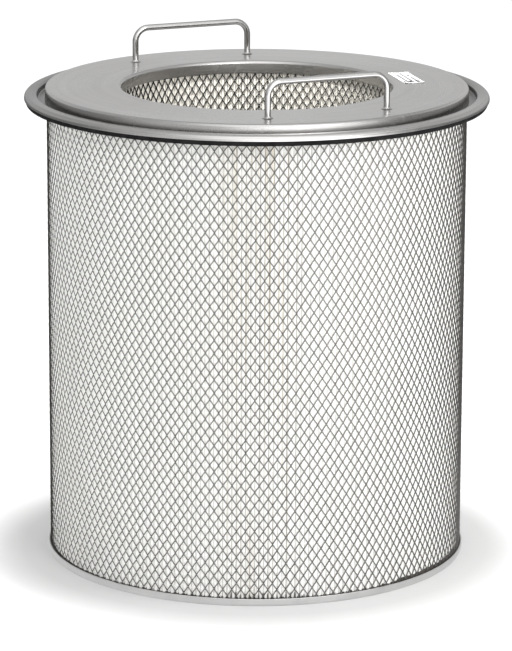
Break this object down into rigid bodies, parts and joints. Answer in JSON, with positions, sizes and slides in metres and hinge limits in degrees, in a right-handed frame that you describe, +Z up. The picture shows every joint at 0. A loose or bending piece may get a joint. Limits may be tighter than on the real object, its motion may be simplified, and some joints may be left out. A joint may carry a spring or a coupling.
{
  "type": "cylindrical pleated filter cartridge",
  "caption": "Drop-in cylindrical pleated dust-collector filter: steel cap with gasketed flange, lifting handles, expanded-metal sleeves and closed bottom pan.",
  "frame": {"origin": "centre of the footprint on the surface that the cartridge stands on", "axes": "+Z up along the cartridge's axis, towards the clean-air outlet; X runs along the handles' grips"},
  "size_m": [0.47, 0.47, 0.5212],
  "materials": {
    "satin_steel": "satin",
    "handle_steel": "drawn rod, semi-bright",
    "weld_metal": "as welded",
    "screen_steel": "dull plated",
    "galvanised_steel": "galvanised",
    "gasket_rubber": "matte closed-cell sponge",
    "filter_media": "matte glass-fibre paper",
    "potting_adhesive": "cured adhesive",
    "label_paper": "matte"
  },
  "bodies": {
    "root": {"top_cap": "satin_steel", "mounting_flange": "satin_steel", "flange_gasket": "gasket_rubber", "handle_front": "handle_steel", "handle_rear": "handle_steel", "handle_weld_front_left": "weld_metal", "handle_weld_front_right": "weld_metal", "handle_weld_rear_left": "weld_metal", "handle_weld_rear_right": "weld_metal", "outer_screen": "screen_steel", "inner_screen": "screen_steel", "media_pleat_pack": "filter_media", "upper_potting": "potting_adhesive", "lower_potting": "potting_adhesive", "bottom_pan": "galvanised_steel", "deck_label": "label_paper"}
  },
  "joints": []
}
